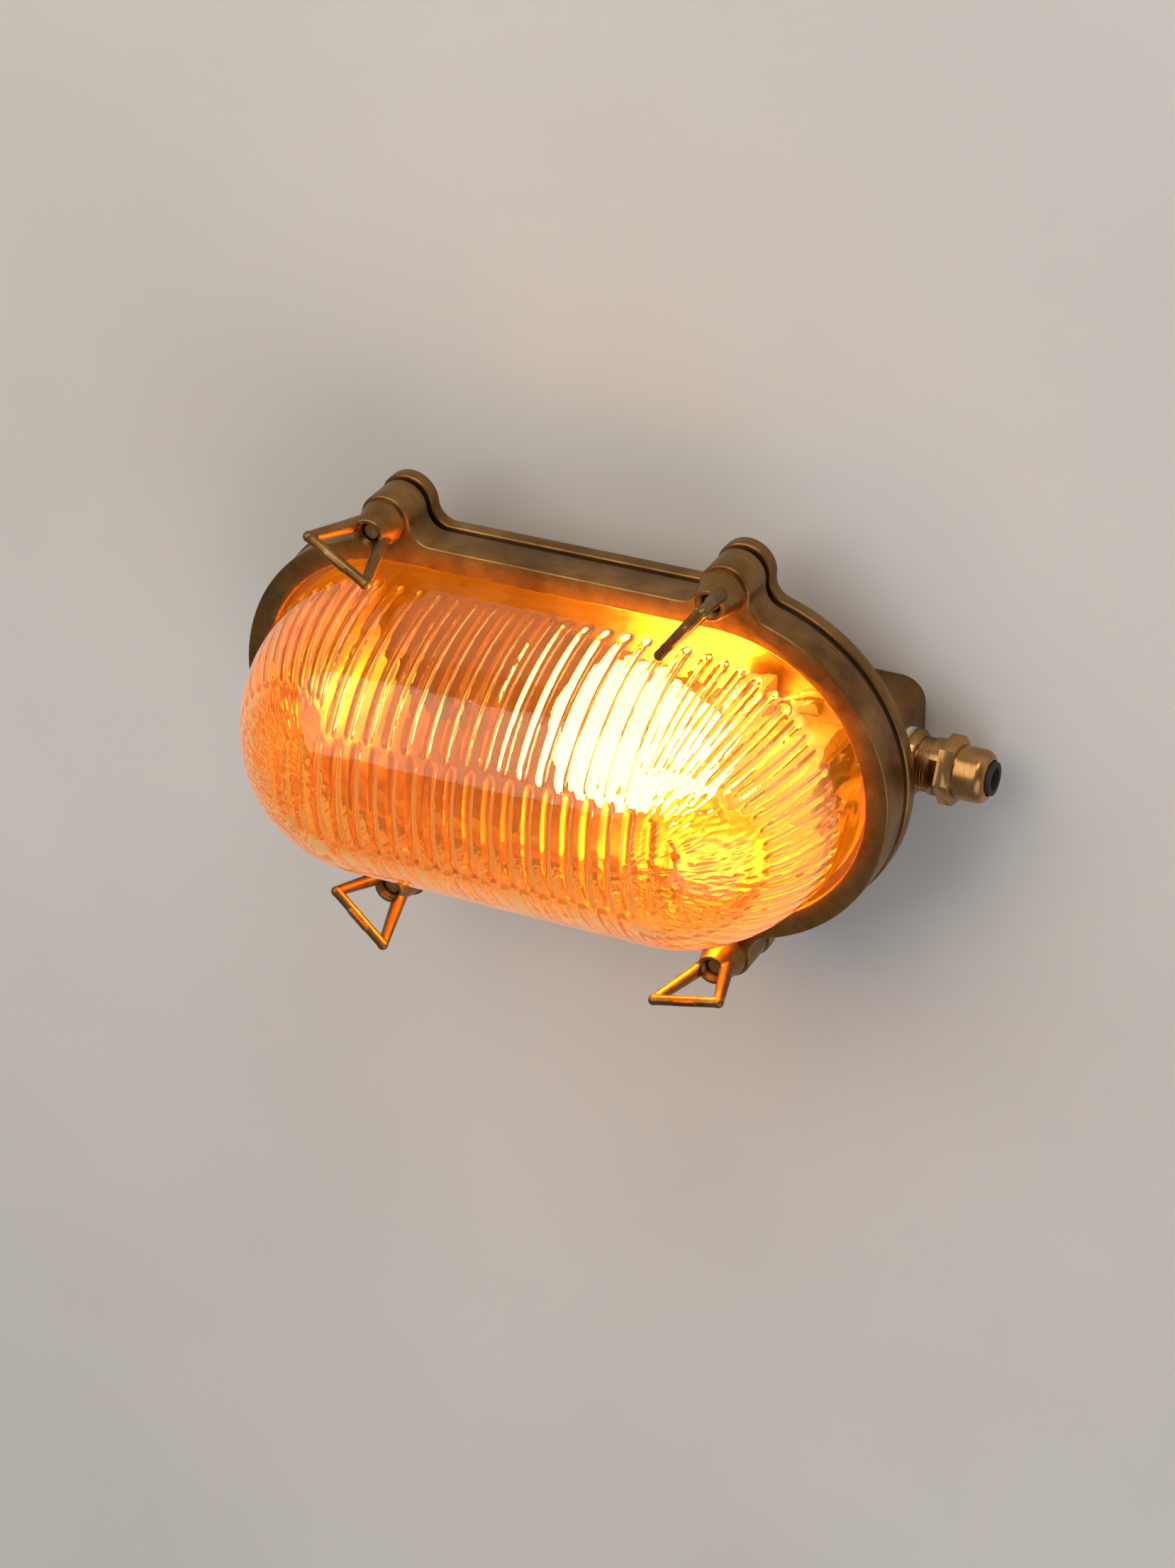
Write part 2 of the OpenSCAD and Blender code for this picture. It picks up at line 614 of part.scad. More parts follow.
module bulb_stem() color(clear) translate([globe_x, 0, 0]) along_lamp() {
    translate([0, 0, 12]) cylinder(6, 2.4, 3.2);
    translate([0, 0, 18]) cylinder(34, 3.2, 5);
}

// Two support wires with the hot coil stretched between them.
module bulb_filament() color("#ffb060") translate([globe_x, 0, lamp_z]) {
    for (sy = [-1, 1]) bar([14, sy * 0.8, 0], [-1, sy * 10.4, 0], 0.45, 0.45);
    bar([-1, -11.5, 0], [-1, 11.5, 0], 0.9, 0.9);
}

module bulb_cap() color("#c7c9cb") along_lamp() difference() {
    union() {
        translate([0, 0, tip_x - 26.5]) cylinder(5, 13, 12.4);
        translate([0, 0, tip_x - 21.5]) cylinder(16.5, 12.3, 12.3);
        for (i = [0:3]) translate([0, 0, tip_x - 20.2 + 3.63 * i]) rotate_extrude()
            translate([12, 1.2]) circle(1.05, $fn = 32);
        translate([0, 0, tip_x - 5]) cylinder(1, 12.3, 11.6);
    }
    translate([0, 0, tip_x - 27]) cylinder(22, 11.4, 11.4);
    translate([0, 0, tip_x - 10]) cylinder(8, 11, 11);
}

module bulb_insulator() color("#26262c") along_lamp()
    translate([0, 0, tip_x - 5.4]) cylinder(4.4, 10.9, 5);

module bulb_tip() color(steel) along_lamp()
    translate([0, 0, tip_x - 0.95]) cylinder(0.95, 4, 3);

back_body();
studs();
body_gasket();
front_ring();
glass_gasket();
glass_dome();
washer(-1, 1);  // washer_upper_left
washer(-1, -1);  // washer_lower_left
washer(1, -1);  // washer_lower_right
washer(1, 1);  // washer_upper_right
wing_nut(-1, 1, turn_upper_left);  // wing_nut_upper_left
wing_nut(-1, -1, turn_lower_left);  // wing_nut_lower_left
wing_nut(1, -1, turn_lower_right);  // wing_nut_lower_right
wing_nut(1, 1, turn_upper_right);  // wing_nut_upper_right
gland_washer();
gland_body();
gland_seal();
gland_clamp_ring();
gland_nut();
lampholder_bracket();
bracket_screws();
lampholder_body();
lampholder_shell();
centre_contact();
lampholder_screws();
terminal_block();
terminal_clamps();
terminal_screws();
block_screw();
earth_screw();
earth_washer();
live_lead();
neutral_lead();
earth_lead();
bulb_glass();
bulb_stem();
bulb_filament();
bulb_cap();
bulb_insulator();
bulb_tip();
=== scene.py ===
"""Dresses the oval bulkhead lantern: brown cast brass, ribbed glass and a lit bulb, on a pale wall."""
import json
import logging
import math
from dataclasses import dataclass
from enum import Enum
from typing import Any, Callable

import bmesh
import bpy
from bmesh.types import BMesh, BMEdge, BMVert
from bpy.types import Material, Node, NodeSocket, NodeTree, Object
from mathutils import Matrix, Vector, noise


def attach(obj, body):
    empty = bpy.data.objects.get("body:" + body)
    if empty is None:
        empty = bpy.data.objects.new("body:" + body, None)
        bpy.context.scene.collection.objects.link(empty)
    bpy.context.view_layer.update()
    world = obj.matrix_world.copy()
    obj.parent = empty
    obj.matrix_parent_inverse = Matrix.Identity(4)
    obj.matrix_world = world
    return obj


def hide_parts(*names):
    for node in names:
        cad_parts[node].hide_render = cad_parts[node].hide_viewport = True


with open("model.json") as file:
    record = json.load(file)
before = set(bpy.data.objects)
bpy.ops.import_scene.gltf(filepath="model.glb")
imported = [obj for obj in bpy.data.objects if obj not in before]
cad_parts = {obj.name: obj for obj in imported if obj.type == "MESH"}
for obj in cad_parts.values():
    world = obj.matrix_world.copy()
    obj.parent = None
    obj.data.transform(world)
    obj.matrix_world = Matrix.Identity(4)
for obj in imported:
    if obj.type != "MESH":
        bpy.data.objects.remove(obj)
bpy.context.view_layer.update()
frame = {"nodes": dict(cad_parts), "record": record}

LOG = logging.getLogger("lantern")
MM = 0.001  # the meshes are drawn in millimetres and stored in metres
SMOOTH_BELOW = math.radians(32)
SAME_PLACE = 0.002  # corners of loose triangles that are this near are one corner
SAME_FACE = math.radians(0.4)
CREST_SPAN = (0.42, 0.58)  # where the flat of a thread's crest lies in its pitch
STUD_PLACES = {"upper_left": (-72.3, 80.5), "lower_left": (-72.3, -80.5),
               "lower_right": (72.3, -80.5), "upper_right": (72.3, 80.5)}


# ---- Colours and nodes ----

def linear(hex_colour: str) -> tuple[float, float, float, float]:
    """Turns an sRGB hex colour into linear values.

    Args:
        hex_colour: Six hex digits after a hash.

    Returns:
        Red, green, blue and an alpha of 1.
    """
    parts = [int(hex_colour[i:i + 2], 16) / 255 for i in (1, 3, 5)]
    red, green, blue = (c / 12.92 if c <= 0.04045 else ((c + 0.055) / 1.055) ** 2.4 for c in parts)
    return red, green, blue, 1.0


def add(tree: NodeTree, kind: str, settings: dict[str, Any] | None = None,
        links: dict[str, NodeSocket] | None = None) -> Node:
    """Adds one node, sets its properties and inputs, and links sockets into it.

    Args:
        tree: The node tree that takes the node.
        kind: The node's type name, without its ShaderNode prefix.
        settings: Property names, or input names with their values.
        links: Input names with the sockets that feed them.

    Returns:
        The new node.
    """
    node = tree.nodes.new("ShaderNode" + kind)
    for key, value in (settings or {}).items():
        if key.isdigit():
            node.inputs[int(key)].default_value = value
        elif key in node.inputs:
            node.inputs[key].default_value = value
        else:
            setattr(node, key, value)
    for key, socket in (links or {}).items():
        target = node.inputs[int(key)] if key.isdigit() else node.inputs[key]
        tree.links.new(socket, target)
    return node


def ramp(tree: NodeTree, fac: NodeSocket, stops: list[tuple[float, str]]) -> NodeSocket:
    """Adds a colour ramp.

    Args:
        tree: The node tree that takes the node.
        fac: The socket that drives the ramp.
        stops: Positions and hex colours, from low to high.

    Returns:
        The ramp's colour socket.
    """
    node = add(tree, "ValToRGB", links={"Fac": fac})
    elements = node.color_ramp.elements
    while len(elements) < len(stops):
        elements.new(0.5)
    for element, (position, colour) in zip(elements, stops):
        element.position = position
        element.color = linear(colour)
    return node.outputs["Color"]


def new_material(name: str) -> tuple[Material, NodeTree, Node]:
    """Starts a material with an output and a Principled shader.

    Args:
        name: The material's name.

    Returns:
        The material, its tree and its shader.
    """
    material = bpy.data.materials.new(name)
    material.use_nodes = True
    tree = material.node_tree
    tree.nodes.clear()
    shader = add(tree, "BsdfPrincipled")
    add(tree, "OutputMaterial", links={"Surface": shader.outputs["BSDF"]})
    return material, tree, shader


class Grain(Enum):
    """The way that the fine scratches of a metal run."""

    ROUND_Z = (0.03, 0.03, 1.0)  # round a wall that stands on the back face
    ROUND_X = (1.0, 0.03, 0.03)  # round a piece turned on the long axis
    EVEN = (1.0, 1.0, 1.0)  # no direction, as cast


@dataclass(frozen=True)
class Metal:
    """A metal with patches of tarnish, fine scratches and casting grit."""

    name: str
    fresh: str
    tarnished: str
    roughness: float
    grain: Grain = Grain.EVEN
    grain_mm: float = 0.6
    grit_mm: float = 1.4
    depth_mm: float = 0.03
    patch_mm: float = 22.0
    scratch_share: float = 0.35  # of the scratches in the tarnish, beside its patches
    tarnish_span: tuple[float, float] = (0.40, 0.88)
    shine_span: tuple[float, float] = (0.8, 1.35)  # of the roughness, from scratch to scratch

    def material(self) -> Material:
        """Builds the finish.

        Returns:
            The material.
        """
        material, tree, shader = new_material(self.name)
        place = add(tree, "TexCoord").outputs["Object"]
        patches = add(tree, "TexNoise",
                      {"Scale": 1 / (self.patch_mm * MM), "Detail": 5.0, "Roughness": 0.62},
                      {"Vector": place}).outputs["Fac"]
        stretched = add(tree, "Mapping", {"Scale": self.grain.value}, {"Vector": place}).outputs["Vector"]
        scratches = add(tree, "TexNoise",
                        {"Scale": 1 / (self.grain_mm * MM), "Detail": 3.0, "Roughness": 0.7},
                        {"Vector": stretched}).outputs["Fac"]
        grit = add(tree, "TexNoise", {"Scale": 1 / (self.grit_mm * MM), "Detail": 4.0, "Roughness": 0.6},
                   {"Vector": place}).outputs["Fac"]
        blend = add(tree, "Math", {"operation": "MULTIPLY_ADD", "1": self.scratch_share},
                    {"0": scratches, "2": patches})
        bright, dark = self.tarnish_span
        colour = ramp(tree, blend.outputs[0], [(bright, self.fresh), (dark, self.tarnished)])
        smooth, rough = self.shine_span
        shine = add(tree, "MapRange",
                    {"From Min": 0.3, "From Max": 0.75, "To Min": self.roughness * smooth,
                     "To Max": self.roughness * rough}, {"Value": scratches})
        low = add(tree, "Bump", {"Strength": 0.6, "Distance": self.depth_mm * MM}, {"Height": scratches})
        high = add(tree, "Bump", {"Strength": 0.7, "Distance": self.depth_mm * 2 * MM},
                   {"Height": grit, "Normal": low.outputs["Normal"]})
        shader.inputs["Metallic"].default_value = 1.0
        tree.links.new(colour, shader.inputs["Base Color"])
        tree.links.new(shine.outputs["Result"], shader.inputs["Roughness"])
        tree.links.new(high.outputs["Normal"], shader.inputs["Normal"])
        return material


@dataclass(frozen=True)
class Solid:
    """A rubber, plastic, porcelain or other finish that is not a bare metal."""

    name: str
    colour: str
    shade: str
    roughness: float
    grit_mm: float = 0.8
    depth_mm: float = 0.02
    coat: float = 0.0
    cloud_mm: float = 9.0

    def material(self) -> Material:
        """Builds the finish.

        Returns:
            The material.
        """
        material, tree, shader = new_material(self.name)
        place = add(tree, "TexCoord").outputs["Object"]
        clouds = add(tree, "TexNoise", {"Scale": 1 / (self.cloud_mm * MM), "Detail": 4.0}, {"Vector": place})
        grit = add(tree, "TexNoise", {"Scale": 1 / (self.grit_mm * MM), "Detail": 3.0}, {"Vector": place})
        colour = ramp(tree, clouds.outputs["Fac"], [(0.35, self.colour), (0.75, self.shade)])
        tree.links.new(colour, shader.inputs["Base Color"])
        shine = add(tree, "MapRange", {"To Min": self.roughness * 0.85, "To Max": self.roughness * 1.15},
                    {"Value": grit.outputs["Fac"]})
        tree.links.new(shine.outputs["Result"], shader.inputs["Roughness"])
        bump = add(tree, "Bump", {"Strength": 0.5, "Distance": self.depth_mm * MM},
                   {"Height": grit.outputs["Fac"]})
        tree.links.new(bump.outputs["Normal"], shader.inputs["Normal"])
        shader.inputs["Coat Weight"].default_value = self.coat
        return material


@dataclass(frozen=True)
class PressedGlass:
    """Soda glass, pressed in a mould: faint waves in its skin, with painted light, an amber tint and a faint
    orange glow that stand for the lamp behind it.
    """

    name: str = "pressed_soda_glass"
    # painted light: the lamp's amber, painted into the clear glass's colour
    painted_lamp_tint: str = "#ffd891"
    painted_glow: str = "#ff8c00"  # painted glow: faint orange light that the glass gives off itself, standing in for the lamp's light
    painted_glow_strength: float = 0.11
    let_through: str = "#fbe6c4"  # lamp light that passes on to the room
    roughness: float = 0.02
    ior: float = 1.5
    wave_mm: float = 9.0
    wave_depth_mm: float = 0.25
    skin_mm: float = 1.6
    skin_depth_mm: float = 0.03

    def material(self) -> Material:
        """Builds the finish.

        Returns:
            The material.
        """
        material, tree, shader = new_material(self.name)
        place = add(tree, "TexCoord").outputs["Object"]
        waves = add(tree, "TexNoise", {"Scale": 1 / (self.wave_mm * MM), "Detail": 1.0}, {"Vector": place})
        skin = add(tree, "TexNoise", {"Scale": 1 / (self.skin_mm * MM), "Detail": 2.0}, {"Vector": place})
        low = add(tree, "Bump", {"Strength": 0.5, "Distance": self.wave_depth_mm * MM},
                  {"Height": waves.outputs["Fac"]})
        high = add(tree, "Bump", {"Strength": 0.35, "Distance": self.skin_depth_mm * MM},
                   {"Height": skin.outputs["Fac"], "Normal": low.outputs["Normal"]})
        # painted light: the amber tint stands in for the lamp's light
        shader.inputs["Base Color"].default_value = linear(self.painted_lamp_tint)
        shader.inputs["Roughness"].default_value = self.roughness
        shader.inputs["IOR"].default_value = self.ior
        shader.inputs["Transmission Weight"].default_value = 1.0
        # painted glow: the glass gives off faint orange light, as if lit through by the lamp
        shader.inputs["Emission Color"].default_value = linear(self.painted_glow)
        shader.inputs["Emission Strength"].default_value = self.painted_glow_strength
        tree.links.new(high.outputs["Normal"], shader.inputs["Normal"])
        clear = add(tree, "BsdfTransparent", {"Color": linear(self.let_through)})
        rays = add(tree, "LightPath")
        mix = add(tree, "MixShader", links={"0": rays.outputs["Is Shadow Ray"], "1": shader.outputs["BSDF"],
                                            "2": clear.outputs["BSDF"]})
        output = next(n for n in tree.nodes if n.type == "OUTPUT_MATERIAL")
        tree.links.new(mix.outputs["Shader"], output.inputs["Surface"])
        return material


@dataclass(frozen=True)
class Glow:
    """A surface that gives light, with the colour of a hot filament."""

    name: str
    body: str
    light: str
    strength: float
    roughness: float = 0.45
    frost_mm: float = 0.7
    frost_depth_mm: float = 0.02

    def material(self) -> Material:
        """Builds the finish.

        Returns:
            The material.
        """
        material, tree, shader = new_material(self.name)
        place = add(tree, "TexCoord").outputs["Object"]
        frost = add(tree, "TexNoise", {"Scale": 1 / (self.frost_mm * MM), "Detail": 2.0}, {"Vector": place})
        bump = add(tree, "Bump", {"Strength": 0.3, "Distance": self.frost_depth_mm * MM},
                   {"Height": frost.outputs["Fac"]})
        shader.inputs["Base Color"].default_value = linear(self.body)
        shader.inputs["Roughness"].default_value = self.roughness
        shader.inputs["Emission Color"].default_value = linear(self.light)
        shader.inputs["Emission Strength"].default_value = self.strength
        tree.links.new(bump.outputs["Normal"], shader.inputs["Normal"])
        return material


# What each material slot of the record is in the real thing, and what that gives the eye. The last
# values are sizes in millimetres: grain, grit, their depth and the patches.
FINISHES: dict[str, Metal | Solid | PressedGlass | Glow] = {
    # sand-cast brass gone brown: satin, with grit, soft patches and brushing along its walls
    "cast_brass": Metal("brushed_cast_brass", "#a9814b", "#6d4a26", 0.36, Grain.ROUND_Z, 0.5, 1.3, 0.035),
    # turned brass: brighter and smoother, with rings left by the lathe
    "turned_brass": Metal("turned_brass", "#c79b62", "#96683a", 0.26, Grain.ROUND_X, 0.45, 1.0, 0.02, 12.0),
    # rolled brass sheet: bright and even
    "sheet_brass": Metal("rolled_brass_sheet", "#d0ab68", "#a67c42", 0.24, Grain.EVEN, 0.5, 1.2, 0.01, 8.0),
    # zinc-plated steel: cool grey with a soft shine
    "zinc_steel": Metal("zinc_plated_steel", "#b9bcbe", "#8f9294", 0.34, Grain.EVEN, 0.5, 1.0, 0.015, 8.0),
    # aluminium sheet, rolled into the bulb's screw cap: pale, with rings left by the roller
    "aluminium_cap": Metal("rolled_aluminium_sheet", "#c6c8ca", "#9fa1a3", 0.3, Grain.ROUND_X, 0.5, 1.0, 0.01,
                           8.0),
    # a drop of tin solder: dull grey
    "solder": Metal("tin_solder", "#a2a5a8", "#7c7f82", 0.4, Grain.EVEN, 0.5, 1.0, 0.03, 3.0),
    # moulded nitrile rubber: near black, matte
    "black_rubber": Solid("moulded_nitrile_rubber", "#1a1a1b", "#2b2927", 0.68, 0.6, 0.03),
    # moulded nylon: milky white that has yellowed a little
    "white_nylon": Solid("moulded_white_nylon", "#e6e1d5", "#d2c9b4", 0.42, 0.9, 0.02),
    # the same nylon, dyed black: an even satin
    "black_nylon": Solid("moulded_black_nylon", "#232324", "#333333", 0.45, 0.9, 0.02),
    # glazed porcelain: warm white under a clear glaze
    "porcelain": Solid("glazed_porcelain", "#ece7da", "#dbd3c2", 0.22, 1.2, 0.01, 0.6),
    # silicone sleeves of the inner leads: pale with heat and age, soft and matte
    "brown_sleeve": Solid("brown_silicone_sleeve", "#b08f78", "#a1806a", 0.5),
    "blue_sleeve": Solid("blue_silicone_sleeve", "#aab3bf", "#9aa4b2", 0.5),
    "green_sleeve": Solid("green_silicone_sleeve", "#b6bd92", "#a8b083", 0.5),
    # black glass, melted in round the bulb's end contact: glossy
    "black_glass": Solid("black_glass_insulator", "#141418", "#1f1f25", 0.15, 1.0, 0.01, 0.4),
    # the bowl: clear pressed glass, with the lamp's amber painted in as a tint and a faint glow
    "pressed_glass": PressedGlass(),
    # frosted glass envelope of a lit filament bulb: it hides its inside and glows warm white
    "bulb_glass": Glow("frosted_lit_bulb_glass", "#f3ecdf", "#ffbc64", 125.0),
    # tungsten wire at work: it glows yellow
    "hot_tungsten": Glow("hot_tungsten_wire", "#ffb060", "#ffc07a", 40.0),
}


# ---- Mesh helpers ----

def piece(name: str, bm: BMesh, finish: Material, body: str, slot: str, *nodes: str) -> Object:
    """Turns a mesh drawn in millimetres into a finished piece that rides on a CAD body.

    Args:
        name: The piece's name.
        bm: The mesh, which is freed.
        finish: Its material.
        body: The CAD body that it rides on.
        slot: The record's material slot; not used.
        nodes: The CAD nodes that it stands for.

    Returns:
        The new object, at the origin.
    """
    bmesh.ops.scale(bm, vec=(MM, MM, MM), verts=bm.verts)
    mesh = bpy.data.meshes.new(name)
    bm.to_mesh(mesh)
    bm.free()
    mesh.materials.append(finish)
    mesh.shade_smooth()
    mesh.set_sharp_from_angle(angle=SMOOTH_BELOW)
    obj = bpy.data.objects.new(name, mesh)
    bpy.context.scene.collection.objects.link(obj)
    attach(obj, body)
    if nodes:
        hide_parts(*nodes)
    LOG.info("%s: %d faces on %s", name, len(mesh.polygons), body)
    return obj


def merged_copy(node: str) -> BMesh:
    """Copies a CAD node's mesh in millimetres, with its loose triangles merged into flat faces.

    Args:
        node: The node's name.

    Returns:
        The copy.
    """
    bm = bmesh.new()
    bm.from_mesh(frame["nodes"][node].data)
    bmesh.ops.scale(bm, vec=(1 / MM, 1 / MM, 1 / MM), verts=bm.verts)
    bmesh.ops.remove_doubles(bm, verts=bm.verts, dist=SAME_PLACE)
    bmesh.ops.dissolve_limit(bm, angle_limit=SAME_FACE, use_dissolve_boundaries=False,
                             verts=bm.verts, edges=bm.edges)
    return bm


def round_edges(bm: BMesh, width: float, choose: Callable[[BMEdge], bool], segments: int = 3) -> None:
    """Rounds the sharp edges that a test picks.

    Args:
        bm: The mesh.
        width: The bevel's width in millimetres.
        choose: The test, which takes a sharp edge.
        segments: Faces across the round.
    """
    sharp = [e for e in bm.edges
             if len(e.link_faces) == 2 and e.calc_face_angle(0) > SMOOTH_BELOW and choose(e)]
    bmesh.ops.bevel(bm, geom=sharp, offset=width, offset_type="OFFSET", segments=segments, profile=0.5,
                    affect="EDGES", clamp_overlap=False, material=-1)


def chain(bm: BMesh, points: list[Vector]) -> tuple[list[BMVert], list[BMEdge]]:
    """Draws an open line of edges.

    Args:
        bm: The mesh.
        points: The line's points.

    Returns:
        The new vertices and edges.
    """
    verts = [bm.verts.new(p) for p in points]
    return verts, [bm.edges.new(pair) for pair in zip(verts, verts[1:])]


def turned(bm: BMesh, profile: list[tuple[float, float]], at: Matrix, steps: int = 48) -> None:
    """Turns a closed profile of radius and height about an axis.

    Args:
        bm: The mesh that takes the ring.
        profile: Its corners, as radius and height.
        at: Places the local z axis on the ring's axis.
        steps: Faces round the ring.
    """
    verts, edges = chain(bm, [at @ Vector((r, 0, z)) for r, z in profile])
    edges.append(bm.edges.new((verts[-1], verts[0])))
    bmesh.ops.spin(bm, geom=verts + edges, cent=at.translation, axis=at.to_3x3() @ Vector((0, 0, 1)),
                   dvec=(0, 0, 0), angle=math.tau, steps=steps, use_merge=True, use_duplicate=False)


def thread(core: float, crest: float, low: float, high: float, pitch: float) -> list[tuple[float, float]]:
    """Draws the side of a threaded length.

    Args:
        core: Radius at the roots.
        crest: Radius at the crests.
        low: Height of the first root.
        high: Height that no crest passes.
        pitch: Distance between crests.

    Returns:
        Radius and height of each corner, from low to high.
    """
    turns = int((high - low) / pitch)
    corners = [(core, low)]
    for i in range(turns):
        start = low + i * pitch
        corners += [(crest, start + pitch * share) for share in CREST_SPAN]
        corners.append((core, start + pitch))
    return corners


# ---- Brass front, body and nuts ----

@dataclass
class CastFront:
    """The front ring, cast in brass, with every edge rounded."""

    edge: float = 0.9

    def build(self, finish: Material) -> None:
        """Makes the ring from the CAD outline with rounded edges."""
        bm = merged_copy("front_ring")
        round_edges(bm, self.edge, lambda e: True)
        piece("front_ring_dressed", bm, finish, "front", "cast_brass", "front_ring")


@dataclass
class CastBody:
    """The back body: a dish with a flange, whose flange edges are rounded by the foundry."""

    edge: float = 0.9
    flange_low_z: float = 37.0
    flange_high_z: float = 43.0
    straight: float = 67.4  # half the length between the centres of the ends
    spigot_r: float = 70.0  # edges nearer than this belong to the spigot or the dish
    level_within: float = 0.05

    def on_flange(self, edge: BMEdge) -> bool:
        """Tells whether an edge runs round the flange's outer side."""
        mid = (edge.verts[0].co + edge.verts[1].co) / 2
        faces = (self.flange_low_z, self.flange_high_z)
        level = min(abs(v.co.z - z) for v in edge.verts for z in faces) < self.level_within
        beyond = max(abs(mid.x) - self.straight, 0.0)
        return level and math.hypot(beyond, mid.y) > self.spigot_r

    def build(self, finish: Material) -> None:
        """Makes the body from the CAD outline with a rounded flange."""
        bm = merged_copy("back_body")
        round_edges(bm, self.edge, self.on_flange)
        piece("back_body_dressed", bm, finish, "housing", "cast_brass", "back_body")


@dataclass
class LoopNut:
    """A cast wing nut: a conical boss with a triangular loop, filleted by the foundry."""

    corner: str
    x: float
    y: float
    thread_low_z: float = 70.6
    thread_high_z: float = 74.0
    thread_outer: float = 4.75
    thread_root: float = 4.62
    thread_crest: float = 4.25
    thread_pitch: float = 1.1
    voxel: float = 0.4
    soften_factor: float = 0.6
    soften_times: int = 6

    def build(self, finish: Material) -> None:
        """Makes the nut from the CAD form, melted together like a casting, with its thread."""
        node = "wing_nut_" + self.corner
        bm = merged_copy(node)
        obj = piece(node + "_dressed", bm, finish, "nut_" + self.corner, "cast_brass", node)
        melt = obj.modifiers.new("melt", "REMESH")
        melt.mode = "VOXEL"
        melt.voxel_size = self.voxel * MM
        melt.use_smooth_shade = True
        soften = obj.modifiers.new("soften", "SMOOTH")
        soften.factor = self.soften_factor
        soften.iterations = self.soften_times
        ring = bmesh.new()
        inner = thread(self.thread_root, self.thread_crest, self.thread_low_z, self.thread_high_z,
                       self.thread_pitch)
        profile = [(self.thread_outer, self.thread_low_z), *inner, (self.thread_outer, self.thread_high_z)]
        turned(ring, profile, Matrix.Translation((self.x, self.y, 0)))
        bmesh.ops.recalc_face_normals(ring, faces=ring.faces)
        piece(node + "_thread", ring, finish, "nut_" + self.corner, "cast_brass")


@dataclass
class Studs:
    """Four turned studs with a thread at the end that the nut runs on."""

    low_z: float = 37.0
    thread_z: float = 57.0
    high_z: float = 71.4
    radius: float = 4.0
    core: float = 3.45
    pitch: float = 1.25
    run_out: float = 0.9  # plain length left at the tip
    shoulder: float = 0.4  # height of the slope from the shank to the first root
    tip_slope: float = 0.25
    tip_in: float = 0.5
    axis_r: float = 0.001  # the caps' inner corners, which are merged on the axis
    steps: int = 40

    def build(self, finish: Material) -> None:
        """Makes the studs."""
        bm = bmesh.new()
        sides = thread(self.core, self.radius, self.thread_z, self.high_z - self.run_out, self.pitch)
        shank = [(self.axis_r, self.low_z), (self.radius, self.low_z),
                 (self.radius, self.thread_z - self.shoulder)]
        tip = [(self.core - 0.1, self.high_z - self.tip_slope), (self.core - self.tip_in, self.high_z),
               (self.axis_r, self.high_z)]
        for x, y in STUD_PLACES.values():
            turned(bm, shank + sides + tip, Matrix.Translation((x, y, 0)), self.steps)
        bmesh.ops.remove_doubles(bm, verts=bm.verts, dist=4 * self.axis_r)
        bmesh.ops.recalc_face_normals(bm, faces=bm.faces)
        piece("studs_dressed", bm, finish, "housing", "turned_brass", "studs")


# ---- Glass ----

